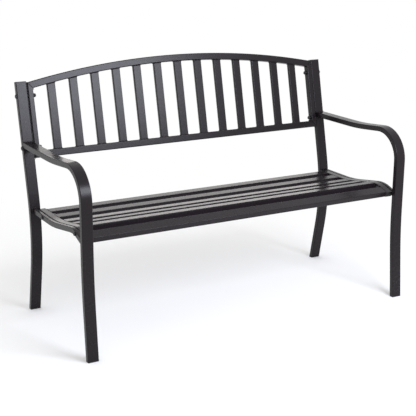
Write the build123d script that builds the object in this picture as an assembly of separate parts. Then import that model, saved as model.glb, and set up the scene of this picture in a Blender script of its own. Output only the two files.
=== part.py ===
from build123d import *
import os
from math import cos, radians, sin, sqrt, tan

# A steel slatted garden bench for two, with an arched back and bent tube arms.
# Lengths are in millimetres and angles in degrees. X runs across the bench, Y from its
# front to its back and Z up. A reach is a distance behind the front face of the front
# feet. The finished bench is moved so that its origin lies on the ground under its middle.

# Overall
overall_width = 1270.0  # over the outer faces of the posts
overrun = 20.0  # how far an untrimmed end or a cutter runs past what trims it
corner_limit_share = 0.45  # of the smaller side of a section, for its rounded corners
inner_corner_share = 0.3  # of the outer corner, least rounding inside a tube

# Frame tube of the posts, arms and front legs
frame_tube_width = 38.0  # across the bench
frame_tube_depth = 19.0
frame_tube_corner = 2.5
frame_tube_wall = 1.2

# Arm and front leg, one bent tube: the line of its top and front face in the side view
arm_height = 616.5  # at its dip, its lowest stretch
arm_dip_reach = 271.0
arm_dip_radius = 1040.0
arm_corner_reach = 18.3
arm_corner_rise = 24.0  # above the dip, where the lines of arm and leg meet
arm_corner_radius = 112.0
leg_bend_reach = 20.6
leg_bend_height = 252.0
leg_bend_radius = 1960.0

# Rear post: the line of its front face in the side view
rear_foot_reach = 529.8
post_bend_reach = 467.8
post_bend_height = 296.5
post_bend_radius = 680.0
post_lean = 12.35
post_top_margin = 3.8  # from the upper ends of the backrest to the top of the cap

# Plastic plugs and caps that close the tubes
plug_rim = 3.0
plug_stem = 18.0
plug_clearance = 0.3
plug_rounding = 0.8
seat_plug_rim = 2.0
seat_plug_stem = 12.0

# Side stretcher, welded between post and front leg
stretcher_width = 13.0
stretcher_height = 19.0
stretcher_corner = 2.5
stretcher_wall = 1.2
stretcher_inset = 9.5  # its outer face lies this far inside the outer face of the posts

# Seat side line: the top of the stretchers and of the seat rails in the side view
seat_height = 389.5  # at the dip, the lowest stretch
seat_rear_rise = 1.5  # above the dip, behind the posts
seat_dip_reach = 305.0
seat_dip_radius = 550.0
seat_crest_reach = 118.0
seat_crest_rise = 30.5  # above the dip, where the straight stretches would meet
seat_crest_radius = 140.0
seat_front_slope = 18.8

# Seat rails, which carry the seat slats and are bolted to the stretchers
seat_rail_width = 25.0
seat_rail_height = 19.0
seat_rail_corner = 2.5
seat_rail_wall = 1.2
seat_rail_gap = 2.5  # between rail and stretcher, filled by a spacer at each bolt
seat_rail_front_gap = 14.5  # between the front leg and the steel of the rail
seat_rail_rear_gap = 20.3  # between the steel of the rail and the post

# Seat slats
seat_slat_count = 6
seat_slat_width = 38.0
seat_slat_height = 20.0
seat_slat_corner = 1.8
seat_slat_wall = 1.0
rear_slat_margin = 9.3  # from the rail's rear end to the rearmost slat

# Backrest: a flat welded panel between the posts
backrest_gap = 2.5  # between panel and post, filled by a spacer at each bolt
backrest_bottom_height = 560.0  # of the front lower edge of the bottom rail
backrest_height = 325.5  # in the plane of the panel, at its middle
backrest_arch_rise = 62.0  # of the top rail, in the plane of the panel
backrest_rail_height = 25.0
backrest_rail_depth = 25.0
backrest_rail_corner = 3.0
backrest_rail_wall = 1.2
backrest_stile_width = 19.0
back_slat_count = 13
back_slat_width = 30.0
back_slat_depth = 13.0
back_slat_corner = 2.2
back_slat_wall = 1.0
back_slat_spread_share = 0.879  # of the half width inside the stiles, to the outermost slats

# Fasteners: round head bolts with washers and cap nuts
bolt_diameter = 8.0
bolt_hole_clearance = 0.25  # round the shank, in the tubes
bolt_head_diameter = 15.5
bolt_head_height = 4.0
bolt_head_round_share = 0.75  # of the head's height
bolt_socket_width = 5.0  # across its flats
bolt_socket_depth = 2.4
washer_diameter = 16.0
washer_thickness = 1.6
washer_clearance = 0.2
nut_width = 13.0  # across its flats
nut_hex_height = 6.0
nut_height = 9.0
nut_dome_diameter = 12.0
nut_dome_round_share = 0.8  # of the dome's height
nut_thread_clearance = 0.05
nut_cover = 2.0  # thickness of the dome over the end of the bore
bolt_tip_gap = 1.0  # between the bolt's tip and the end of the bore
spacer_diameter = 16.0
hexagon_sides = 6  # of the nuts and of the sockets in the bolt heads
lower_bolt_margin = 13.0  # from the bottom rail to the backrest's lower bolts
upper_bolt_margin = 24.5  # from the top rail to the backrest's upper bolts
seat_bolt_gap_share = 0.57  # of the pitch, from the middle of a slat to the next one

# Places across the bench that follow from the sizes above
post_outer = overall_width / 2
post_inner = post_outer - frame_tube_width
post_centre = post_outer - frame_tube_width / 2
stretcher_outer = post_outer - stretcher_inset
stretcher_inner = stretcher_outer - stretcher_width
seat_rail_outer = stretcher_inner - seat_rail_gap
seat_rail_inner = seat_rail_outer - seat_rail_width
panel_outer = post_inner - backrest_gap
stile_inner = panel_outer - backrest_stile_width


# Tube sections and runs of tube

def outline(width, depth, corner):
    """Outer outline of a tube."""
    return RectangleRounded(width, depth, min(corner, corner_limit_share * min(width, depth)))


def cavity(width, depth, corner, inset):
    """Outline that lies an inset inside the outer outline of a tube."""
    inner_corner = max(corner - inset, corner * inner_corner_share)
    return outline(width - 2 * inset, depth - 2 * inset, inner_corner)


def hollow(width, depth, corner, wall):
    """Section of a tube with its wall."""
    return outline(width, depth, corner) - cavity(width, depth, corner, wall)


def side(reach, height):
    """Point of the side view, in the middle plane of the bench."""
    return Vector(0, reach, height)


def beyond(start, end, distance):
    """Point past the end of the straight line from start to end."""
    return end + (end - start).normalized() * distance


def along(path, section, shift):
    """Sweep a section along a line of the side view, shifted square to that line."""
    start = Plane(origin=path @ 0, x_dir=(1, 0, 0), z_dir=path % 0)
    return sweep(start * Pos(0, shift) * section, path=path)


def largest(shape):
    """The main piece of a run that has been cut through."""
    return max(shape.solids(), key=lambda piece: piece.volume)


def above(shape, height):
    """What lies above a level."""
    return split(shape, bisect_by=Plane.XY.offset(height), keep=Keep.TOP)


def below(shape, height):
    """What lies below a level."""
    return split(shape, bisect_by=Plane.XY.offset(height), keep=Keep.BOTTOM)


def across(x_start, x_end, place, section):
    """Extrude a section along X, from one place across the bench to another."""
    start = Plane(origin=(x_start, place.Y, place.Z), x_dir=(0, 1, 0), z_dir=(x_end - x_start, 0, 0))
    return extrude(start * section, amount=abs(x_end - x_start))


def both_sides(name, right_piece):
    """The right piece and its mirror image, as two nodes."""
    nodes[name + "_right"] = right_piece
    nodes[name + "_left"] = mirror(right_piece, about=Plane.YZ)


nodes = {}

# Lines of the side view
lean = radians(post_lean)
panel_up = Vector(0, sin(lean), cos(lean))
panel_back = Vector(0, cos(lean), -sin(lean))
front_foot = side(0, 0)
rear_foot = side(rear_foot_reach, 0)
leg_bend = side(leg_bend_reach, leg_bend_height)
post_bend = side(post_bend_reach, post_bend_height)


def post_front(height):
    """Front face of the straight upper stretch of a post, at a height."""
    return side(post_bend_reach + (height - post_bend_height) * tan(lean), height)


def reach_at(line, height):
    """Reach of a line of the side view where it passes a height."""
    level = Line(side(-overall_width, height), side(overall_width, height))
    return line.intersect(level)[0].Y


post_top_station = backrest_height - backrest_arch_rise + post_top_margin
post_steel_top = post_front(backrest_bottom_height) + panel_up * (post_top_station - plug_rim)

post_line = FilletPolyline(
    beyond(post_bend, rear_foot, overrun),
    post_bend,
    post_steel_top,
    radius=[post_bend_radius],
)

arm_line = FilletPolyline(
    side(post_front(arm_height).Y + frame_tube_depth + overrun, arm_height),
    side(arm_dip_reach, arm_height),
    side(arm_corner_reach, arm_height + arm_corner_rise),
    leg_bend,
    beyond(leg_bend, front_foot, overrun),
    radius=[arm_dip_radius, arm_corner_radius, leg_bend_radius],
)

seat_rear = side(rear_foot_reach + frame_tube_depth, seat_height + seat_rear_rise)
seat_dip = side(seat_dip_reach, seat_height)
seat_crest = side(seat_crest_reach, seat_height + seat_crest_rise)
rail_rear_reach = reach_at(post_line, seat_height) - seat_rail_rear_gap
rail_front_reach = reach_at(arm_line, seat_height) + frame_tube_depth + seat_rail_front_gap


def seat_behind_dip(reach):
    """Point of the straight rear stretch of the seat side line."""
    share = (reach - seat_dip_reach) / (seat_rear.Y - seat_dip_reach)
    return seat_dip + (seat_rear - seat_dip) * share


def seat_before_crest(reach):
    """Point of the straight front stretch of the seat side line."""
    drop = (seat_crest_reach - reach) * tan(radians(seat_front_slope))
    return side(reach, seat_crest.Z - drop)


def seat_line(rear_point, front_point):
    """Seat side line between two points of its straight stretches."""
    corners = [rear_point, seat_dip, seat_crest, front_point]
    return FilletPolyline(*corners, radius=[seat_dip_radius, seat_crest_radius])


stretcher_line = seat_line(seat_rear, seat_before_crest(-overrun))
rail_line = seat_line(seat_behind_dip(rail_rear_reach), seat_before_crest(rail_front_reach))
rear_slat_inset = rear_slat_margin + seat_slat_width / 2
front_slat_inset = seat_slat_width / 2
seat_slat_pitch = (rail_line.length - rear_slat_inset - front_slat_inset) / (seat_slat_count - 1)


def rail_plane(distance, x_place):
    """Plane square to X on the rail line: its x runs to the front, its y down."""
    place = rail_line.position_at(distance, position_mode=PositionMode.LENGTH)
    forward = rail_line.tangent_at(distance, position_mode=PositionMode.LENGTH)
    return Plane(origin=(x_place, place.Y, place.Z), x_dir=forward, z_dir=(1, 0, 0))


# Places of the bolts in the side view
panel_overhang = (backrest_rail_depth - frame_tube_depth) / 2
panel_foot = post_front(backrest_bottom_height) - side(panel_overhang / cos(lean), 0)
arch_radius = (panel_outer ** 2 + backrest_arch_rise ** 2) / (2 * backrest_arch_rise)


def arch_drop(x_place):
    """How far the arch lies below its apex, at a place across the bench."""
    return arch_radius - sqrt(arch_radius ** 2 - x_place ** 2)


stile_top = backrest_height - arch_drop(stile_inner) - backrest_rail_height
backrest_bolt_stations = [
    backrest_rail_height + lower_bolt_margin,
    stile_top - upper_bolt_margin,
]
backrest_bolt_places = [
    panel_foot + panel_up * station + panel_back * (backrest_rail_depth / 2)
    for station in backrest_bolt_stations
]
seat_bolt_gaps = [0, seat_slat_count - 2]  # counted from the rearmost gap between slats
seat_bolt_distances = [
    rear_slat_inset + (gap + seat_bolt_gap_share) * seat_slat_pitch for gap in seat_bolt_gaps
]
seat_bolt_places = [
    (rail_plane(distance, 0) * Pos(0, seat_rail_height / 2)).position
    for distance in seat_bolt_distances
]


def drilled(tube, x_start, x_end, places):
    """A tube of the right side with a bolt hole at each place."""
    hole = Circle(bolt_diameter / 2 + bolt_hole_clearance)
    for place in places:
        tube = tube - across(x_start - overrun, x_end + overrun, place, hole)
    return tube


# Side frames: posts, arms with front legs, and stretchers

frame_section = hollow(frame_tube_width, frame_tube_depth, frame_tube_corner, frame_tube_wall)
frame_block = Rectangle(frame_tube_width, frame_tube_depth)
post_block = Pos(post_centre, 0, 0) * along(post_line, frame_block, frame_tube_depth / 2)
arm_block = Pos(post_centre, 0, 0) * along(arm_line, frame_block, -frame_tube_depth / 2)


def rear_post():
    """Post with its lower end cut level above the foot plug."""
    tube = Pos(post_centre, 0, 0) * along(post_line, frame_section, frame_tube_depth / 2)
    return drilled(above(tube, plug_rim), post_inner, post_outer, backrest_bolt_places)


def arm_leg_tube():
    """Arm and front leg, cut at the post's front face and above the foot plug."""
    tube = Pos(post_centre, 0, 0) * along(arm_line, frame_section, -frame_tube_depth / 2)
    return largest(above(tube, plug_rim) - post_block)


def side_stretcher():
    """Stretcher, cut at the front face of the post and at the rear face of the leg."""
    section = hollow(stretcher_width, stretcher_height, stretcher_corner, stretcher_wall)
    tube = along(stretcher_line, section, -stretcher_height / 2)
    tube = Pos(stretcher_outer - stretcher_width / 2, 0, 0) * tube
    tube = largest(tube - post_block - arm_block)
    return drilled(tube, stretcher_inner, stretcher_outer, seat_bolt_places)


both_sides("rear_post", rear_post())
both_sides("arm_leg_tube", arm_leg_tube())
both_sides("side_stretcher", side_stretcher())


# Plugs and caps of the frame tubes

def foot_plug(line, shift):
    """Plug with a level rim under the tube and a stem that follows the tube."""
    frame_outline = outline(frame_tube_width, frame_tube_depth, frame_tube_corner)
    inset = frame_tube_wall + plug_clearance
    stem_outline = cavity(frame_tube_width, frame_tube_depth, frame_tube_corner, inset)
    rim = below(above(along(line, frame_outline, shift), 0), plug_rim)
    stem = below(above(along(line, stem_outline, shift), plug_rim / 2), plug_rim + plug_stem)
    plug = rim + stem
    ground_edges = plug.faces().sort_by(Axis.Z)[0].edges()
    return Pos(post_centre, 0, 0) * fillet(ground_edges, plug_rounding)


def post_cap():
    """Cap on the square cut top of a post."""
    top = Plane(origin=post_steel_top, x_dir=(1, 0, 0), z_dir=panel_up) * Pos(0, frame_tube_depth / 2)
    frame_outline = outline(frame_tube_width, frame_tube_depth, frame_tube_corner)
    inset = frame_tube_wall + plug_clearance
    stem_outline = cavity(frame_tube_width, frame_tube_depth, frame_tube_corner, inset)
    rim = extrude(top * frame_outline, amount=plug_rim)
    stem = extrude(top * stem_outline, amount=-plug_stem)
    crown_edges = rim.faces().sort_by(Axis(post_steel_top, panel_up))[-1].edges()
    return Pos(post_centre, 0, 0) * (fillet(crown_edges, plug_rounding) + stem)


plug_line_length = plug_rim + plug_stem + overrun
rear_plug_line = Line(
    beyond(post_bend, rear_foot, overrun),
    beyond(post_bend, rear_foot, -plug_line_length),
)
front_plug_line = Line(
    beyond(leg_bend, front_foot, -plug_line_length),
    beyond(leg_bend, front_foot, overrun),
)
both_sides("rear_foot_plug", foot_plug(rear_plug_line, frame_tube_depth / 2))
both_sides("front_foot_plug", foot_plug(front_plug_line, -frame_tube_depth / 2))
both_sides("post_cap", post_cap())


# Seat: two rails, the slats between them and the plugs of the rails

def seat_rail():
    """Rail that follows the seat side line."""
    section = hollow(seat_rail_width, seat_rail_height, seat_rail_corner, seat_rail_wall)
    tube = along(rail_line, section, -seat_rail_height / 2)
    tube = Pos(seat_rail_outer - seat_rail_width / 2, 0, 0) * tube
    return drilled(tube, seat_rail_inner, seat_rail_outer, seat_bolt_places)


def seat_rail_plug(end, outward):
    """Plug in one end of a rail, with its rim on the rail's square cut end."""
    end_plane = Plane(origin=end, x_dir=(1, 0, 0), z_dir=outward)
    centre_y = -seat_rail_height / 2 if end_plane.y_dir.Z > 0 else seat_rail_height / 2
    end_plane = end_plane * Pos(0, centre_y)
    rim_outline = outline(seat_rail_width, seat_rail_height, seat_rail_corner)
    rim = extrude(end_plane * rim_outline, amount=seat_plug_rim)
    inset = seat_rail_wall + plug_clearance
    stem_outline = cavity(seat_rail_width, seat_rail_height, seat_rail_corner, inset)
    stem = extrude(end_plane * stem_outline, amount=-seat_plug_stem)
    return Pos(seat_rail_outer - seat_rail_width / 2, 0, 0) * (rim + stem)


def seat_slat(index):
    """Slat laid on the seat side line, flush with the top of the rails."""
    section = hollow(seat_slat_width, seat_slat_height, seat_slat_corner, seat_slat_wall)
    start = rail_plane(rear_slat_inset + index * seat_slat_pitch, -seat_rail_inner)
    return extrude(start * Pos(0, seat_slat_height / 2) * section, amount=2 * seat_rail_inner)


both_sides("seat_rail", seat_rail())
both_sides("seat_rail_rear_plug", seat_rail_plug(rail_line @ 0, -(rail_line % 0)))
both_sides("seat_rail_front_plug", seat_rail_plug(rail_line @ 1, rail_line % 1))
for index in range(seat_slat_count):
    nodes[f"seat_slat_{index + 1}"] = seat_slat(index)


# Backrest panel, laid out flat and then stood up: x across, y up the panel, z to the front

panel_plane = Plane(origin=panel_foot, x_dir=(1, 0, 0), z_dir=-panel_back)


middle_slat = (back_slat_count - 1) / 2
back_slat_places = [
    (index / middle_slat - 1) * back_slat_spread_share * stile_inner
    for index in range(back_slat_count)
]


def arch_point(x_place):
    """Point of the arch, at a place across the bench."""
    return Vector(x_place, backrest_height - arch_drop(x_place))


def arch_sweep(section):
    """Section swept along the arch of the top rail, bay by bay between the slats, past both posts."""
    half = panel_outer + overrun
    stations = [-half, *back_slat_places, half]
    arch = Wire([
        ThreePointArc(arch_point(start), arch_point((start + end) / 2), arch_point(end))
        for start, end in zip(stations, stations[1:])
    ])
    start = Plane(origin=arch @ 0, x_dir=(0, 0, 1), z_dir=arch % 0)
    centre = Pos(-backrest_rail_depth / 2, backrest_rail_height / 2)
    return sweep(start * centre * section, path=arch, clean=False)


def mitre_plane(start, end):
    """Plane square to the panel through two of its corners; the stile lies above it."""
    run = end - start
    return Plane(origin=start, x_dir=run, z_dir=(-run.Y, run.X, 0))


underside_radius = arch_radius - backrest_rail_height
underside_drop = arch_radius - sqrt(underside_radius ** 2 - stile_inner ** 2)
top_outer = Vector(panel_outer, backrest_height - backrest_arch_rise, 0)
top_inner = Vector(stile_inner, backrest_height - underside_drop, 0)
bottom_outer = Vector(panel_outer, 0, 0)
bottom_inner = Vector(stile_inner, backrest_rail_height, 0)
top_mitre = mitre_plane(top_outer, top_inner)
bottom_mitre = mitre_plane(bottom_inner, bottom_outer)


def mitred(rail, mitre):
    """A rail with both ends cut by a mitre plane of the right side and its mirror image."""
    for end in range(2):
        rail = mirror(split(rail, bisect_by=mitre, keep=Keep.BOTTOM), about=Plane.YZ)
    return panel_plane * rail


def top_rail():
    """Arched rail."""
    section = hollow(backrest_rail_depth, backrest_rail_height, backrest_rail_corner, backrest_rail_wall)
    return mitred(arch_sweep(section), top_mitre)


def bottom_rail():
    """Straight rail under the slats."""
    section = hollow(backrest_rail_depth, backrest_rail_height, backrest_rail_corner, backrest_rail_wall)
    half = panel_outer + overrun
    start = Plane.YZ.offset(-half) * Pos(backrest_rail_height / 2, -backrest_rail_depth / 2)
    return mitred(extrude(start * section, amount=2 * half), bottom_mitre)


def stile():
    """End upright of the panel, mitred into both rails and bolted to the post."""
    section = hollow(backrest_stile_width, backrest_rail_depth, backrest_rail_corner, backrest_rail_wall)
    foot = Plane.XZ.offset(overrun) * Pos(panel_outer - backrest_stile_width / 2, -backrest_rail_depth / 2)
    tube = extrude(foot * section, amount=-backrest_height - overrun)
    tube = split(tube, bisect_by=bottom_mitre, keep=Keep.TOP)
    tube = panel_plane * split(tube, bisect_by=top_mitre, keep=Keep.TOP)
    return drilled(tube, stile_inner, panel_outer, backrest_bolt_places)


def back_slat(x_place):
    """Flat upright tube between the rails, in the middle of their depth."""
    top = backrest_height - arch_drop(x_place) - backrest_rail_height / 2
    foot = Plane.XZ.offset(-backrest_rail_height) * Pos(x_place, -backrest_rail_depth / 2)
    section = hollow(back_slat_width, back_slat_depth, back_slat_corner, back_slat_wall)
    tube = extrude(foot * section, amount=backrest_rail_height - top)
    return panel_plane * largest(tube - arch_block)


arch_block = arch_sweep(Rectangle(backrest_rail_depth, backrest_rail_height))
nodes["backrest_top_rail"] = top_rail()
nodes["backrest_bottom_rail"] = bottom_rail()
both_sides("backrest_stile", stile())
for index, x_place in enumerate(back_slat_places):
    nodes[f"backrest_slat_{index + 1:02d}"] = back_slat(x_place)


# Fasteners of the right side: each bolt enters from outside and ends in a cap nut

def bolt(head_face, nut_face, place):
    """Round head bolt from the face under its head into the nut."""
    tip = nut_face - (nut_height - nut_cover - bolt_tip_gap)
    head = across(head_face, head_face + bolt_head_height, place, Circle(bolt_head_diameter / 2))
    crown_edge = head.edges().filter_by(GeomType.CIRCLE).sort_by(Axis.X)[-1]
    head = fillet(crown_edge, bolt_head_round_share * bolt_head_height)
    shank = across(head_face, tip, place, Circle(bolt_diameter / 2))
    socket_outline = RegularPolygon(bolt_socket_width / 2, hexagon_sides, major_radius=False)
    socket_floor = head_face + bolt_head_height - bolt_socket_depth
    return head + shank - across(socket_floor, socket_floor + overrun, place, socket_outline)


def ring(outer_face, thickness, diameter, place):
    """Washer or spacer that lies inside a face."""
    section = Circle(diameter / 2) - Circle(bolt_diameter / 2 + washer_clearance)
    return across(outer_face, outer_face - thickness, place, section)


def cap_nut(face, place):
    """Hexagon nut with a closed dome."""
    dome_height = nut_height - nut_hex_height
    hexagon = RegularPolygon(nut_width / 2, hexagon_sides, major_radius=False)
    dome = across(face, face - nut_height, place, Circle(nut_dome_diameter / 2))
    dome_edge = dome.edges().filter_by(GeomType.CIRCLE).sort_by(Axis.X)[0]
    dome_round = min(nut_dome_round_share * dome_height, corner_limit_share * nut_dome_diameter)
    dome = fillet(dome_edge, dome_round)
    bore_outline = Circle(bolt_diameter / 2 + nut_thread_clearance)
    bore = across(face, face - (nut_height - nut_cover), place, bore_outline)
    return across(face, face - nut_hex_height, place, hexagon) + dome - bore


def group(name, right_pieces):
    """Identical pieces of both sides in one node, as separate solids."""
    left_pieces = [mirror(piece, about=Plane.YZ) for piece in right_pieces]
    pieces = [piece.solid() for piece in right_pieces + left_pieces]
    nodes[name] = Compound(children=pieces)


def fasteners(name, head_face, clamped_face, places):
    """Bolts, washers and cap nuts that clamp from one face to another."""
    nut_face = clamped_face - washer_thickness
    washer_sizes = washer_thickness, washer_diameter
    group(name + "_bolts", [bolt(head_face, nut_face, place) for place in places])
    group(name + "_washers", [ring(clamped_face, *washer_sizes, place) for place in places])
    group(name + "_cap_nuts", [cap_nut(nut_face, place) for place in places])


fasteners("backrest", post_outer, stile_inner, backrest_bolt_places)
fasteners("seat", stretcher_outer, seat_rail_inner, seat_bolt_places)
seat_spacer = stretcher_inner, seat_rail_gap, spacer_diameter
backrest_spacer = post_inner, backrest_gap, spacer_diameter
group("seat_spacers", [ring(*seat_spacer, place) for place in seat_bolt_places])
group("backrest_spacers", [ring(*backrest_spacer, place) for place in backrest_bolt_places])


# The origin goes to the ground under the middle of the bench, and each piece to its file

all_pieces = [piece for node in nodes.values() for piece in node.solids()]
bench_box = Compound(children=all_pieces).bounding_box()
to_origin = Pos(0, -bench_box.center().Y, 0)
os.makedirs("parts", exist_ok=True)
for name, node in nodes.items():
    export_step(to_origin * node, os.path.join("parts", name + ".step"))
print(f"{len(nodes)} nodes, middle at reach {bench_box.center().Y:.2f}, size {bench_box.size}")
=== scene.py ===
from math import cos, pi, radians, sin, tau

import bmesh
import bpy
import numpy as np
from bpy.props import FloatProperty, FloatVectorProperty, IntProperty, PointerProperty
from mathutils import Matrix, Vector


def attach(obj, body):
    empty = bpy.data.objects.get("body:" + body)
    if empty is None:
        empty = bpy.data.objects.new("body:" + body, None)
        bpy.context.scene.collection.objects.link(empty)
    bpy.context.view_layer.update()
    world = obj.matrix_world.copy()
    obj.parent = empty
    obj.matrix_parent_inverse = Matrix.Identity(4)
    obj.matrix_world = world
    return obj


bl_info = {
    "name": "Slatted garden bench",
    "version": (1, 0, 0),
    "blender": (4, 5, 0),
    "location": "View3D > Sidebar > Bench",
    "description": "Finishes, weld seams and studio for the slatted steel garden bench",
    "category": "Object",
}

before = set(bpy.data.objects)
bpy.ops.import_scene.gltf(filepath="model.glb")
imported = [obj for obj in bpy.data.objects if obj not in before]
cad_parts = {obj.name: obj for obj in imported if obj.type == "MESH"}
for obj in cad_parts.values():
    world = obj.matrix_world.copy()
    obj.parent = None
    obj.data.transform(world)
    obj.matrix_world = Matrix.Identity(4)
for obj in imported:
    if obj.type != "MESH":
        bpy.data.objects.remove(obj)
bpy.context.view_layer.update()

# Nodes of the bench, by the part of it that they belong to
SIDES = ("left", "right")
SIDE_FRAME_NODES = [f"{piece}_{side}" for piece in ("rear_post", "arm_leg_tube", "side_stretcher")
                    for side in SIDES]
BACK_SLATS = sorted(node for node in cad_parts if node.startswith("backrest_slat_"))
SEAT_SLATS = sorted(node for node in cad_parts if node.startswith("seat_slat_"))
STILES = [f"backrest_stile_{side}" for side in SIDES]
BACKREST_NODES = ["backrest_top_rail", "backrest_bottom_rail"] + STILES + BACK_SLATS
SEAT_NODES = [f"seat_rail_{side}" for side in SIDES] + SEAT_SLATS
PLUG_NODES = [f"{piece}_{side}" for side in SIDES for piece in (
    "post_cap", "front_foot_plug", "rear_foot_plug", "seat_rail_front_plug", "seat_rail_rear_plug")]
FASTENER_NODES = [f"{panel}_{piece}" for panel in ("backrest", "seat")
                  for piece in ("bolts", "washers", "cap_nuts")]
SPACER_NODES = ["seat_spacers", "backrest_spacers"]

BACKREST_LEAN = radians(12.35)
BACKREST_UP = Vector((0, sin(BACKREST_LEAN), cos(BACKREST_LEAN)))
ACROSS = Vector((1, 0, 0))
TO_BACK = Vector((0, 1, 0))

# Powder coat: widths in metres, shares, and the stretches over which a mask turns from 0 to 1
COAT_IOR = 1.3
COAT_CLOUD = 0.11
COAT_STREAK = 0.018
COAT_SPECK = 0.0012
COAT_SPECK_SHARE = 0.08
FINE_PEEL_SIZE = 0.3  # in widths of the orange peel
FINE_PEEL_SHARE = 0.15
# Lighter coat colour along the edges: partly a thinner coat, partly a painted highlight
THIN_COAT_AND_EDGE_HIGHLIGHT = (0.075, 0.07, 0.068)
THIN_COAT_AND_EDGE_HIGHLIGHT_SHARE = 0.25
THIN_COAT_AND_EDGE_HIGHLIGHT_STREAK = (0.35, 0.65)
EDGE_TURN = (0.02, 0.3)
DUST = (0.36, 0.33, 0.3)
DUST_SHARE = 0.015
DUST_SLOPE = (0.6, 1.0)
DUST_STREAK = (0.4, 0.8)
STREAK_ROUGHNESS = 0.06
DUST_ROUGHNESS = 0.04
EDGE_POLISH = 0.05

# Moulded plastic
PLASTIC_IOR = 1.47
PLASTIC_CLOUD = 0.02
PLASTIC_CLOUD_SHARE = 0.4
PLASTIC_GRAIN_HEIGHT = 0.00004
PLASTIC_GRAIN_ROUGHNESS = 0.2

# Black plating
PLATING_METALLIC = 0.7
PLATING_CLOUD = 0.004
PLATING_CLOUD_SHARE = 0.5
PLATING_GRAIN_HEIGHT = 0.00003
PLATING_CLOUD_ROUGHNESS = 0.2
PLATING_EDGE_WIDTH = 0.0006
RUBBED_PLATING = (0.14, 0.14, 0.15)
RUBBED_SHARE = 0.4

NOISE_MEAN = 0.5
EDGE_SAMPLES = 4

# Tube ends: the length that holds an end's corners, their radius, and a seam's steps round it
SQUARE_END = 0.008
MITRED_END = 0.03
SAME_POINT_DIGITS = 6  # decimals of a metre to which two points count as one
TUBE_CORNER = 0.0022
CORNER_STEPS = 5
STEPS_PER_RIPPLE = 3

# Soft boxes: bearing from the bench's right end to its back, and angle of height
FRONT_LAMP = {"bearing": radians(-75), "height": radians(28.5), "width": 1.1, "depth": 0.8,
              "colour": (0.85, 0.88, 1.0)}
REAR_LAMP = {"bearing": radians(65), "height": radians(8), "width": 2.1, "depth": 0.9,
             "colour": (1.0, 0.94, 0.9)}
WHITE = (1.0, 1.0, 1.0)
SENSOR_WIDTH = 36  # of the camera, in millimetres


# Settings

class FinishSettings(bpy.types.PropertyGroup):
    """Colours and surfaces of the coated steel, the plastic and the fasteners."""
    coat_colour: FloatVectorProperty(
        name="Coat colour", description="Powder coat of the tubes", subtype="COLOR",
        min=0, max=1, default=(0.0098, 0.0071, 0.0091))
    coat_variation: FloatProperty(
        name="Coat variation", description="Share by which the coat grows lighter and darker",
        min=0, max=1, default=0.14, subtype="FACTOR")
    coat_roughness: FloatProperty(
        name="Coat roughness", description="Roughness of the powder coat",
        min=0, max=1, default=0.27, subtype="FACTOR")
    peel_size: FloatProperty(
        name="Orange peel size", description="Width of the coat's ripples",
        min=0.0002, default=0.0016, unit="LENGTH", precision=4)
    peel_height: FloatProperty(
        name="Orange peel height", description="Height of the coat's ripples",
        min=0, default=0.00002, unit="LENGTH", precision=5)
    # The edge width also sets the band of painted highlight along the edges
    edge_width: FloatProperty(
        name="Edge width", description="Width of the thinner coat along the edges",
        min=0.0002, default=0.0015, unit="LENGTH", precision=4)
    plastic_colour: FloatVectorProperty(
        name="Plastic colour", description="Plugs, caps and spacers", subtype="COLOR",
        min=0, max=1, default=(0.012, 0.012, 0.0125))
    plastic_roughness: FloatProperty(
        name="Plastic roughness", description="Roughness of the moulded plastic",
        min=0, max=1, default=0.5, subtype="FACTOR")
    grain_size: FloatProperty(
        name="Plastic grain size", description="Width of the grain of the moulded plastic",
        min=0.0001, default=0.0007, unit="LENGTH", precision=4)
    plated_colour: FloatVectorProperty(
        name="Plated colour", description="Black plated bolts, washers and nuts", subtype="COLOR",
        min=0, max=1, default=(0.032, 0.032, 0.035))
    plated_roughness: FloatProperty(
        name="Plated roughness", description="Roughness of the plated fasteners",
        min=0, max=1, default=0.3, subtype="FACTOR")


class WeldSettings(bpy.types.PropertyGroup):
    """Sizes of the weld seams between the tubes."""
    seam_radius: FloatProperty(
        name="Seam radius", description="Radius of a seam in a corner between two tubes",
        min=0.0002, default=0.0021, unit="LENGTH", precision=4)
    ground_radius: FloatProperty(
        name="Ground seam radius",
        description="Radius of a seam that is ground flat between flush faces",
        min=0.0001, default=0.0007, unit="LENGTH", precision=4)
    ripple_length: FloatProperty(
        name="Ripple length", description="Length of one ripple of a seam",
        min=0.0005, default=0.0027, unit="LENGTH", precision=4)
    ripple_share: FloatProperty(
        name="Ripple share",
        description="Share of the radius by which a seam swells and shrinks",
        min=0, max=0.5, default=0.13, subtype="FACTOR")
    seam_sides: IntProperty(
        name="Seam sides", description="Sides of a seam's section", min=4, max=16, default=8)


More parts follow.
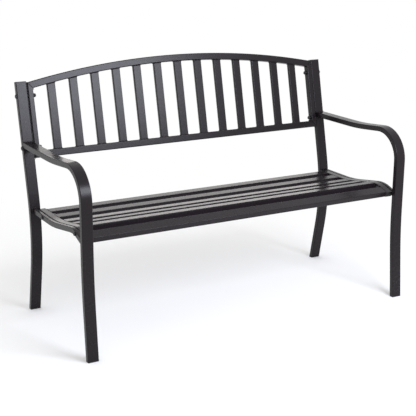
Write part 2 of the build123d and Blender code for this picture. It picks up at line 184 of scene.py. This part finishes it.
class StageSettings(bpy.types.PropertyGroup):
    """Floor, lamps and camera."""
    floor_colour: FloatVectorProperty(
        name="Floor colour", description="Colour of the studio floor", subtype="COLOR",
        min=0, max=1, default=(0.93, 0.93, 0.93))
    floor_size: FloatProperty(
        name="Floor size", description="Length of the floor's sides",
        min=1, default=60, unit="LENGTH")
    fade_start: FloatProperty(
        name="Fade start",
        description="Distance from the bench at which the floor starts to turn white",
        min=0, default=0.5, unit="LENGTH")
    fade_end: FloatProperty(
        name="Fade end", description="Distance from the bench at which the floor is white",
        min=0, default=1.7, unit="LENGTH")
    ambient: FloatProperty(
        name="Ambient", description="Light that the studio walls give to matt surfaces",
        min=0, default=0.92)
    front_distance: FloatProperty(
        name="Front lamp distance",
        description="From the middle of the bench to the soft box before it",
        min=0.5, default=2.2, unit="LENGTH")
    rear_distance: FloatProperty(
        name="Rear lamp distance",
        description="From the middle of the bench to the soft box behind it",
        min=0.5, default=3.6, unit="LENGTH")
    lamp_aim: FloatProperty(
        name="Lamp aim", description="Height of the point at which the lamps aim",
        min=0, default=0.45, unit="LENGTH")
    front_power: FloatProperty(
        name="Front lamp", description="Power of the soft box before the bench, in watts",
        min=0, default=42)
    rear_power: FloatProperty(
        name="Rear lamp", description="Power of the low soft box behind the bench, in watts",
        min=0, default=7.5)
    camera_place: FloatVectorProperty(
        name="Camera place", description="Place of the camera", subtype="TRANSLATION",
        unit="LENGTH", default=(-1.7804, -3.1170, 1.3758))
    camera_pan: FloatProperty(
        name="Camera pan",
        description="Turn of the camera from straight at the bench's front, to the right",
        subtype="ANGLE", default=radians(29.362))
    camera_tilt: FloatProperty(
        name="Camera tilt", description="How far the camera looks down",
        subtype="ANGLE", default=radians(15.911))
    camera_roll: FloatProperty(
        name="Camera roll", description="Turn of the camera about its line of sight",
        subtype="ANGLE", default=radians(0.281))
    camera_lens: FloatProperty(
        name="Lens", description="Focal length, in millimetres, on a sensor 36 mm wide",
        min=1, default=88.845)


# Shader building

class Reading:
    """A number that changes over a surface, with Python's operators."""

    def __init__(self, shader, socket):
        self.shader = shader
        self.socket = socket

    def _math(self, operation, *values):
        made = self.shader.add("ShaderNodeMath", {"operation": operation}, dict(enumerate(values)))
        return Reading(self.shader, made.outputs[0])

    def __add__(self, other):
        return self._math("ADD", self, other)

    def __radd__(self, other):
        return self._math("ADD", other, self)

    def __sub__(self, other):
        return self._math("SUBTRACT", self, other)

    def __rsub__(self, other):
        return self._math("SUBTRACT", other, self)

    def __mul__(self, other):
        return self._math("MULTIPLY", self, other)

    def __rmul__(self, other):
        return self._math("MULTIPLY", other, self)

    def __truediv__(self, other):
        return self._math("DIVIDE", self, other)

    def minimum(self, other):
        return self._math("MINIMUM", self, other)

    def ramp(self, start, end):
        """From 0 at start to 1 at end, smooth and held at both ends."""
        made = self.shader.add(
            "ShaderNodeMapRange", {"interpolation_type": "SMOOTHSTEP"},
            {"Value": self, "From Min": start, "From Max": end})
        return Reading(self.shader, made.outputs[0])


class Shader:
    """Node tree of one material or world."""

    def __init__(self, owner):
        owner.use_nodes = True
        self.tree = owner.node_tree
        self.tree.nodes.clear()

    def add(self, kind, settings=None, sockets=None):
        """Add a node: its settings are set first, then the values or links of its sockets."""
        node = self.tree.nodes.new(kind)
        for name, value in (settings or {}).items():
            setattr(node, name, value)
        for key, value in (sockets or {}).items():
            source = value.socket if isinstance(value, Reading) else value
            if isinstance(source, bpy.types.NodeSocket):
                self.tree.links.new(source, node.inputs[key])
            else:
                node.inputs[key].default_value = source
        return node

    def reading(self, socket):
        """A socket's value, ready for sums."""
        return Reading(self, socket)

    def noise(self, place, size, detail=2.0, roughness=0.5):
        """Noise between 0 and 1, with features about as wide as size."""
        made = self.add(
            "ShaderNodeTexNoise", {"normalize": True},
            {"Vector": place, "Scale": 1 / size, "Detail": detail, "Roughness": roughness})
        return self.reading(made.outputs["Fac"])

    def place(self):
        """Coordinates of the piece, in metres."""
        return self.add("ShaderNodeTexCoord").outputs["Object"]

    def shade(self, colour, share):
        """A colour times one plus a share that changes over the surface."""
        grey = self.add("ShaderNodeCombineColor", None,
                        {"Red": share + 1, "Green": share + 1, "Blue": share + 1})
        made = self.add("ShaderNodeMix", {"data_type": "RGBA", "blend_type": "MULTIPLY"},
                        {0: 1.0, 6: colour, 7: grey.outputs[0]})
        return made.outputs[2]

    def mix(self, share, colour, other):
        """One colour turning into another."""
        made = self.add("ShaderNodeMix", {"data_type": "RGBA"}, {0: share, 6: colour, 7: other})
        return made.outputs[2]

    def bump(self, height, distance):
        """A normal that follows a height, which is given as a share of a distance."""
        made = self.add("ShaderNodeBump", None,
                        {"Height": height, "Distance": distance, "Strength": 1.0})
        return made.outputs[0]

    def surface(self, sockets):
        """Principled surface of the whole piece."""
        skin = self.add("ShaderNodeBsdfPrincipled", None, sockets)
        self.add("ShaderNodeOutputMaterial", None, {"Surface": skin.outputs[0]})

    def facing(self):
        """Direction in which the surface faces."""
        return self.add("ShaderNodeNewGeometry").outputs["Normal"]

    def edges(self, width):
        """One where the surface turns over an edge, zero on the flat."""
        rounded = self.add("ShaderNodeBevel", {"samples": EDGE_SAMPLES}, {"Radius": width})
        agreement = self.add("ShaderNodeVectorMath", {"operation": "DOT_PRODUCT"},
                             {0: self.facing(), 1: rounded.outputs[0]})
        return (1 - self.reading(agreement.outputs["Value"])).ramp(*EDGE_TURN)


def opaque(colour):
    return (*colour, 1.0)


def made_once(build):
    """Let a finish be made at its first use, and be found again after that."""
    name = "bench_" + build.__name__

    def find():
        material = bpy.data.materials.get(name)
        if not material:
            material = bpy.data.materials.new(name)
            build(Shader(material), bpy.context.scene.bench_finish)
        return material

    return find


@made_once
def powder_coat(shader, finish):
    """Semi-gloss dark powder coat with orange peel, lighter along the edges for a thinner coat
    there and a painted highlight, with a trace of dust.
    """
    place = shader.place()
    cloud = shader.noise(place, COAT_CLOUD, detail=3)
    streak = shader.noise(place, COAT_STREAK, detail=4, roughness=0.6)
    speck = shader.noise(place, COAT_SPECK, detail=1)
    peel = shader.noise(place, finish.peel_size, detail=1.5)
    fine = shader.noise(place, finish.peel_size * FINE_PEEL_SIZE, detail=1)
    # Mask along the edges, broken by streaks, where the coat is painted lighter: a thinner coat and
    # a painted highlight
    edge = shader.edges(finish.edge_width) * streak.ramp(*THIN_COAT_AND_EDGE_HIGHLIGHT_STREAK)
    upward = shader.add("ShaderNodeSeparateXYZ", None, {0: shader.facing()}).outputs["Z"]
    dust = shader.reading(upward).ramp(*DUST_SLOPE) * streak.ramp(*DUST_STREAK)

    variation = ((cloud - NOISE_MEAN) * (2 * finish.coat_variation)
                 + (speck - NOISE_MEAN) * COAT_SPECK_SHARE)
    colour = shader.shade(opaque(finish.coat_colour), variation)
    # Painted highlight and thinner coat: the colour turns lighter along the edges
    colour = shader.mix(edge * THIN_COAT_AND_EDGE_HIGHLIGHT_SHARE, colour, opaque(THIN_COAT_AND_EDGE_HIGHLIGHT))
    colour = shader.mix(dust * DUST_SHARE, colour, opaque(DUST))
    roughness = finish.coat_roughness + (streak - NOISE_MEAN) * STREAK_ROUGHNESS
    shader.surface({
        "Base Color": colour,
        "Roughness": roughness + dust * DUST_ROUGHNESS - edge * EDGE_POLISH,
        "IOR": COAT_IOR,
        "Normal": shader.bump(peel + fine * FINE_PEEL_SHARE, finish.peel_height),
    })


@made_once
def black_plastic(shader, finish):
    """Matt black plastic with a fine grain."""
    place = shader.place()
    grain = shader.noise(place, finish.grain_size, detail=3, roughness=0.6)
    cloud = shader.noise(place, PLASTIC_CLOUD, detail=2)
    variation = (cloud - NOISE_MEAN) * PLASTIC_CLOUD_SHARE
    shader.surface({
        "Base Color": shader.shade(opaque(finish.plastic_colour), variation),
        "Roughness": finish.plastic_roughness + (grain - NOISE_MEAN) * PLASTIC_GRAIN_ROUGHNESS,
        "IOR": PLASTIC_IOR,
        "Normal": shader.bump(grain, PLASTIC_GRAIN_HEIGHT),
    })


@made_once
def black_plating(shader, finish):
    """Black plated steel, rubbed a little lighter on its edges."""
    cloud = shader.noise(shader.place(), PLATING_CLOUD, detail=3)
    variation = (cloud - NOISE_MEAN) * PLATING_CLOUD_SHARE
    colour = shader.shade(opaque(finish.plated_colour), variation)
    rubbed = shader.edges(PLATING_EDGE_WIDTH) * RUBBED_SHARE
    shader.surface({
        "Base Color": shader.mix(rubbed, colour, opaque(RUBBED_PLATING)),
        "Metallic": PLATING_METALLIC,
        "Roughness": finish.plated_roughness + (cloud - NOISE_MEAN) * PLATING_CLOUD_ROUGHNESS,
        "Normal": shader.bump(cloud, PLATING_GRAIN_HEIGHT),
    })


def finish_nodes(names, material):
    """Give CAD nodes their finish."""
    for name in names:
        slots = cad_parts[name].data.materials
        slots.clear()
        slots.append(material)


# Weld seams

def corner_points(node):
    """All corners of a CAD node's mesh."""
    return np.array([vertex.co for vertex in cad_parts[node].data.vertices], float)


class TubeEnd:
    """Cut end of a tube: its middle, the directions of its two sides and their half lengths."""

    def __init__(self, node, towards, depth=SQUARE_END):
        points = corner_points(node)
        reach = points @ np.array(towards)
        points = np.unique(np.round(points[reach > reach.max() - depth], SAME_POINT_DIGITS), axis=0)
        spread = points - points.mean(0)
        directions = np.linalg.eigh(spread.T @ spread)[1][:, ::-1].T
        self.long_side, self.short_side, self.normal = directions
        along = spread @ self.long_side
        aside = spread @ self.short_side
        self.middle = points.mean(0) + self.long_side * (along.max() + along.min()) / 2 \
            + self.short_side * (aside.max() + aside.min()) / 2
        self.half_long = (along.max() - along.min()) / 2
        self.half_short = (aside.max() - aside.min()) / 2

    def outline(self, corner, step):
        """Points round the end, each with its outward direction."""
        straight_long = 2 * (self.half_long - corner)
        straight_short = 2 * (self.half_short - corner)
        points = []
        for quarter in range(4):
            start = quarter * pi / 2
            mid = start + pi / 4
            centre = np.array([np.sign(cos(mid)) * (self.half_long - corner),
                               np.sign(sin(mid)) * (self.half_short - corner)])
            for turn in range(CORNER_STEPS):
                angle = start + (pi / 2) * turn / (CORNER_STEPS - 1)
                points.append((centre + corner * np.array([cos(angle), sin(angle)]), angle))
            run = straight_long if quarter % 2 == 0 else straight_short
            count = max(2, round(run / step))
            direction = np.array([cos(start + pi), sin(start + pi)])
            last, angle = points[-1]
            for index in range(1, count):
                points.append((last + direction * run * index / count, angle))
        return [(Vector(self.middle + self.long_side * flat[0] + self.short_side * flat[1]),
                 Vector(self.long_side * cos(angle) + self.short_side * sin(angle)))
                for flat, angle in points]


def add_seam(seams, end, ground):
    """Add a closed weld seam round a tube's end, ground flat where it faces along ground."""
    weld = bpy.context.scene.bench_weld
    points = end.outline(TUBE_CORNER, weld.ripple_length / STEPS_PER_RIPPLE)
    walked = 0.0
    frames = []
    normal = Vector(end.normal)
    for index, (point, outward) in enumerate(points):
        walked += (point - points[index - 1][0]).length
        flush = min(1.0, sum(outward.dot(direction) ** 2 for direction in ground))
        radius = weld.seam_radius * (1 - flush) + weld.ground_radius * flush
        radius *= 1 + weld.ripple_share * sin(tau * walked / weld.ripple_length)
        ahead = (points[(index + 1) % len(points)][0] - points[index - 1][0]).normalized()
        turned = Matrix((ahead.cross(normal), normal, ahead)).transposed().to_4x4()
        frames.append(Matrix.Translation(point) @ turned @ Matrix.Scale(radius, 4))
    seam = bmesh.new()
    bmesh.ops.create_circle(seam, segments=weld.seam_sides, radius=1.0, matrix=frames[0])
    first = list(seam.edges)
    loop = first
    for before, here in zip(frames, frames[1:]):
        made = bmesh.ops.extrude_edge_only(seam, edges=loop)["geom"]
        corners = {item for item in made if isinstance(item, bmesh.types.BMVert)}
        loop = [item for item in made if isinstance(item, bmesh.types.BMEdge)
                and item.verts[0] in corners and item.verts[1] in corners]
        bmesh.ops.transform(seam, matrix=here @ before.inverted(), verts=list(corners))
    bmesh.ops.bridge_loops(seam, edges=first + loop)
    bmesh.ops.recalc_face_normals(seam, faces=seam.faces)
    seam.verts.index_update()
    ranked = sorted(seam.faces, key=lambda face: sorted(corner.index for corner in face.verts))
    rank = {face: place for place, face in enumerate(ranked)}
    seam.faces.sort(key=rank.get)  # the same order in each run
    spare = bpy.data.meshes.new("seam")
    seam.to_mesh(spare)
    seam.free()
    seams.from_mesh(spare)
    bpy.data.meshes.remove(spare)


def weld_seams(name, ends):
    """One piece that holds the seams round the ends."""
    seams = bmesh.new()
    for end, ground in ends:
        add_seam(seams, end, ground)
    for face in seams.faces:
        face.smooth = True
    mesh = bpy.data.meshes.new(name)
    seams.to_mesh(mesh)
    seams.free()
    piece = bpy.data.objects.new(name, mesh)
    bpy.context.scene.collection.objects.link(piece)
    mesh.materials.append(powder_coat())
    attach(piece, "root")
    return piece


# Operators

class BENCH_OT_finish_side_frames(bpy.types.Operator):
    """Powder coat on the posts, arms, front legs and stretchers"""
    bl_idname = "bench.finish_side_frames"
    bl_label = "Finish side frames"

    def execute(self, context):
        finish_nodes(SIDE_FRAME_NODES, powder_coat())
        return {"FINISHED"}


class BENCH_OT_finish_backrest(bpy.types.Operator):
    """Powder coat on the backrest's rails, stiles and slats"""
    bl_idname = "bench.finish_backrest"
    bl_label = "Finish backrest"

    def execute(self, context):
        finish_nodes(BACKREST_NODES, powder_coat())
        return {"FINISHED"}


class BENCH_OT_finish_seat(bpy.types.Operator):
    """Powder coat on the seat's rails and slats"""
    bl_idname = "bench.finish_seat"
    bl_label = "Finish seat"

    def execute(self, context):
        finish_nodes(SEAT_NODES, powder_coat())
        return {"FINISHED"}


class BENCH_OT_finish_plugs(bpy.types.Operator):
    """Moulded plastic on the caps, the foot and rail plugs and the spacers"""
    bl_idname = "bench.finish_plugs"
    bl_label = "Finish plugs"

    def execute(self, context):
        finish_nodes(PLUG_NODES + SPACER_NODES, black_plastic())
        return {"FINISHED"}


class BENCH_OT_finish_fasteners(bpy.types.Operator):
    """Black plating on the bolts, washers and cap nuts"""
    bl_idname = "bench.finish_fasteners"
    bl_label = "Finish fasteners"

    def execute(self, context):
        finish_nodes(FASTENER_NODES, black_plating())
        return {"FINISHED"}


class BENCH_OT_weld_side_frames(bpy.types.Operator):
    """Weld seams of the arms and stretchers on the posts and front legs"""
    bl_idname = "bench.weld_side_frames"
    bl_label = "Weld side frames"

    def execute(self, context):
        ends = []
        for side in SIDES:
            ends.append((TubeEnd(f"arm_leg_tube_{side}", TO_BACK), [ACROSS]))
            ends.append((TubeEnd(f"side_stretcher_{side}", TO_BACK), []))
            ends.append((TubeEnd(f"side_stretcher_{side}", -TO_BACK), []))
        weld_seams("side_frame_weld_seams", ends)
        return {"FINISHED"}


class BENCH_OT_weld_backrest(bpy.types.Operator):
    """Weld seams of the slats and stiles on the backrest's rails"""
    bl_idname = "bench.weld_backrest"
    bl_label = "Weld backrest"

    def execute(self, context):
        ends = []
        for slat in BACK_SLATS:
            ends.append((TubeEnd(slat, BACKREST_UP), []))
            ends.append((TubeEnd(slat, -BACKREST_UP), []))
        for stile in STILES:
            for outward in (BACKREST_UP, -BACKREST_UP):
                mitre = TubeEnd(stile, outward, depth=MITRED_END)
                ends.append((mitre, [Vector(mitre.long_side), Vector(mitre.short_side)]))
        weld_seams("backrest_weld_seams", ends)
        return {"FINISHED"}


class BENCH_OT_weld_seat(bpy.types.Operator):
    """Weld seams of the slats on the seat's rails"""
    bl_idname = "bench.weld_seat"
    bl_label = "Weld seat"

    def execute(self, context):
        ends = []
        for slat in SEAT_SLATS:
            for outward in (ACROSS, -ACROSS):
                end = TubeEnd(slat, outward)
                ends.append((end, [Vector(end.short_side)]))
        weld_seams("seat_weld_seams", ends)
        return {"FINISHED"}


def shown_white(shader):
    """One for the rays that see the background white: of the camera, of gloss and of glass."""
    path = shader.add("ShaderNodeLightPath")
    shown = shader.reading(path.outputs["Is Camera Ray"]) + path.outputs["Is Glossy Ray"]
    return (shown + path.outputs["Is Transmission Ray"]).minimum(1)


def studio_world(stage):
    """White walls, which light matt surfaces at a softer level."""
    world = bpy.data.worlds.new("bench_studio")
    bpy.context.scene.world = world
    shader = Shader(world)
    seen = shown_white(shader)
    strength = seen * (1 - stage.ambient) + stage.ambient
    background = shader.add("ShaderNodeBackground", None,
                            {"Color": opaque(WHITE), "Strength": strength})
    shader.add("ShaderNodeOutputWorld", None, {"Surface": background.outputs[0]})


def studio_floor(stage):
    """Pale floor that fades to white away from the bench."""
    plane = bmesh.new()
    bmesh.ops.create_grid(plane, x_segments=1, y_segments=1, size=stage.floor_size / 2)
    mesh = bpy.data.meshes.new("studio_floor")
    plane.to_mesh(mesh)
    plane.free()
    floor = bpy.data.objects.new("studio_floor", mesh)
    bpy.context.scene.collection.objects.link(floor)
    material = bpy.data.materials.new("studio_floor")
    mesh.materials.append(material)
    shader = Shader(material)
    matt = shader.add("ShaderNodeBsdfDiffuse", None, {"Color": opaque(stage.floor_colour)})
    white = shader.add("ShaderNodeEmission", None, {"Color": opaque(WHITE), "Strength": 1.0})
    distance = shader.reading(shader.add(
        "ShaderNodeVectorMath", {"operation": "LENGTH"}, {0: shader.place()}).outputs["Value"])
    away = distance.ramp(stage.fade_start, stage.fade_end) * shown_white(shader)
    mixed = shader.add("ShaderNodeMixShader", None,
                       {0: away, 1: matt.outputs[0], 2: white.outputs[0]})
    shader.add("ShaderNodeOutputMaterial", None, {"Surface": mixed.outputs[0]})


def soft_box(name, distance, power, bearing, height, width, depth, colour):
    """Area lamp at a distance from the middle of the bench, aimed at it."""
    lamp = bpy.data.lights.new(name, "AREA")
    lamp.shape = "RECTANGLE"
    lamp.size = width
    lamp.size_y = depth
    lamp.energy = power
    lamp.color = colour
    box = bpy.data.objects.new(name, lamp)
    towards = Vector((cos(height) * cos(bearing), cos(height) * sin(bearing), sin(height)))
    aim = Vector((0, 0, bpy.context.scene.bench_stage.lamp_aim))
    box.location = aim + towards * distance
    box.rotation_euler = towards.to_track_quat("Z", "Y").to_euler()
    bpy.context.scene.collection.objects.link(box)


def photo_camera(stage):
    """Camera at the photograph's place and angle."""
    lens = bpy.data.cameras.new("camera")
    lens.lens = stage.camera_lens
    lens.sensor_width = SENSOR_WIDTH
    camera = bpy.data.objects.new("camera", lens)
    bpy.context.scene.collection.objects.link(camera)
    pan, tilt = stage.camera_pan, stage.camera_tilt
    ahead = Vector((sin(pan) * cos(tilt), cos(pan) * cos(tilt), -sin(tilt)))
    level = Vector((cos(pan), -sin(pan), 0))
    above = level.cross(ahead)
    roll = Matrix.Rotation(-stage.camera_roll, 3, ahead)
    turned = Matrix((roll @ level, roll @ above, -ahead)).transposed()
    camera.matrix_world = Matrix.Translation(stage.camera_place) @ turned.to_4x4()
    bpy.context.scene.camera = camera


class BENCH_OT_set_stage(bpy.types.Operator):
    """Floor, studio walls, lamps and camera"""
    bl_idname = "bench.set_stage"
    bl_label = "Set stage"

    def execute(self, context):
        stage = context.scene.bench_stage
        studio_world(stage)
        studio_floor(stage)
        soft_box("front_lamp", stage.front_distance, stage.front_power, **FRONT_LAMP)
        soft_box("rear_lamp", stage.rear_distance, stage.rear_power, **REAR_LAMP)
        photo_camera(stage)
        context.scene.view_settings.view_transform = "Standard"
        return {"FINISHED"}


class BENCH_PT_pieces(bpy.types.Panel):
    """Pieces and settings of the bench"""
    bl_idname = "BENCH_PT_pieces"
    bl_label = "Garden bench"
    bl_space_type = "VIEW_3D"
    bl_region_type = "UI"
    bl_category = "Bench"

    def draw(self, context):
        column = self.layout.column()
        for operator in STEPS:
            column.operator(operator.bl_idname)
        scene = context.scene
        for settings in (scene.bench_finish, scene.bench_weld, scene.bench_stage):
            box = self.layout.box()
            for name in settings.bl_rna.properties.keys():
                if name not in ("rna_type", "name"):
                    box.prop(settings, name)


STEPS = (
    BENCH_OT_finish_side_frames,
    BENCH_OT_finish_backrest,
    BENCH_OT_finish_seat,
    BENCH_OT_finish_plugs,
    BENCH_OT_finish_fasteners,
    BENCH_OT_weld_side_frames,
    BENCH_OT_weld_backrest,
    BENCH_OT_weld_seat,
    BENCH_OT_set_stage,
)
CLASSES = (FinishSettings, WeldSettings, StageSettings) + STEPS + (BENCH_PT_pieces,)


def register():
    for made in CLASSES:
        bpy.utils.register_class(made)
    bpy.types.Scene.bench_finish = PointerProperty(type=FinishSettings)
    bpy.types.Scene.bench_weld = PointerProperty(type=WeldSettings)
    bpy.types.Scene.bench_stage = PointerProperty(type=StageSettings)


def unregister():
    del bpy.types.Scene.bench_stage
    del bpy.types.Scene.bench_weld
    del bpy.types.Scene.bench_finish
    for made in reversed(CLASSES):
        bpy.utils.unregister_class(made)


def main():
    register()
    for step in STEPS:
        group, name = step.bl_idname.split(".")
        getattr(getattr(bpy.ops, group), name)()


if __name__ == "__main__":
    main()
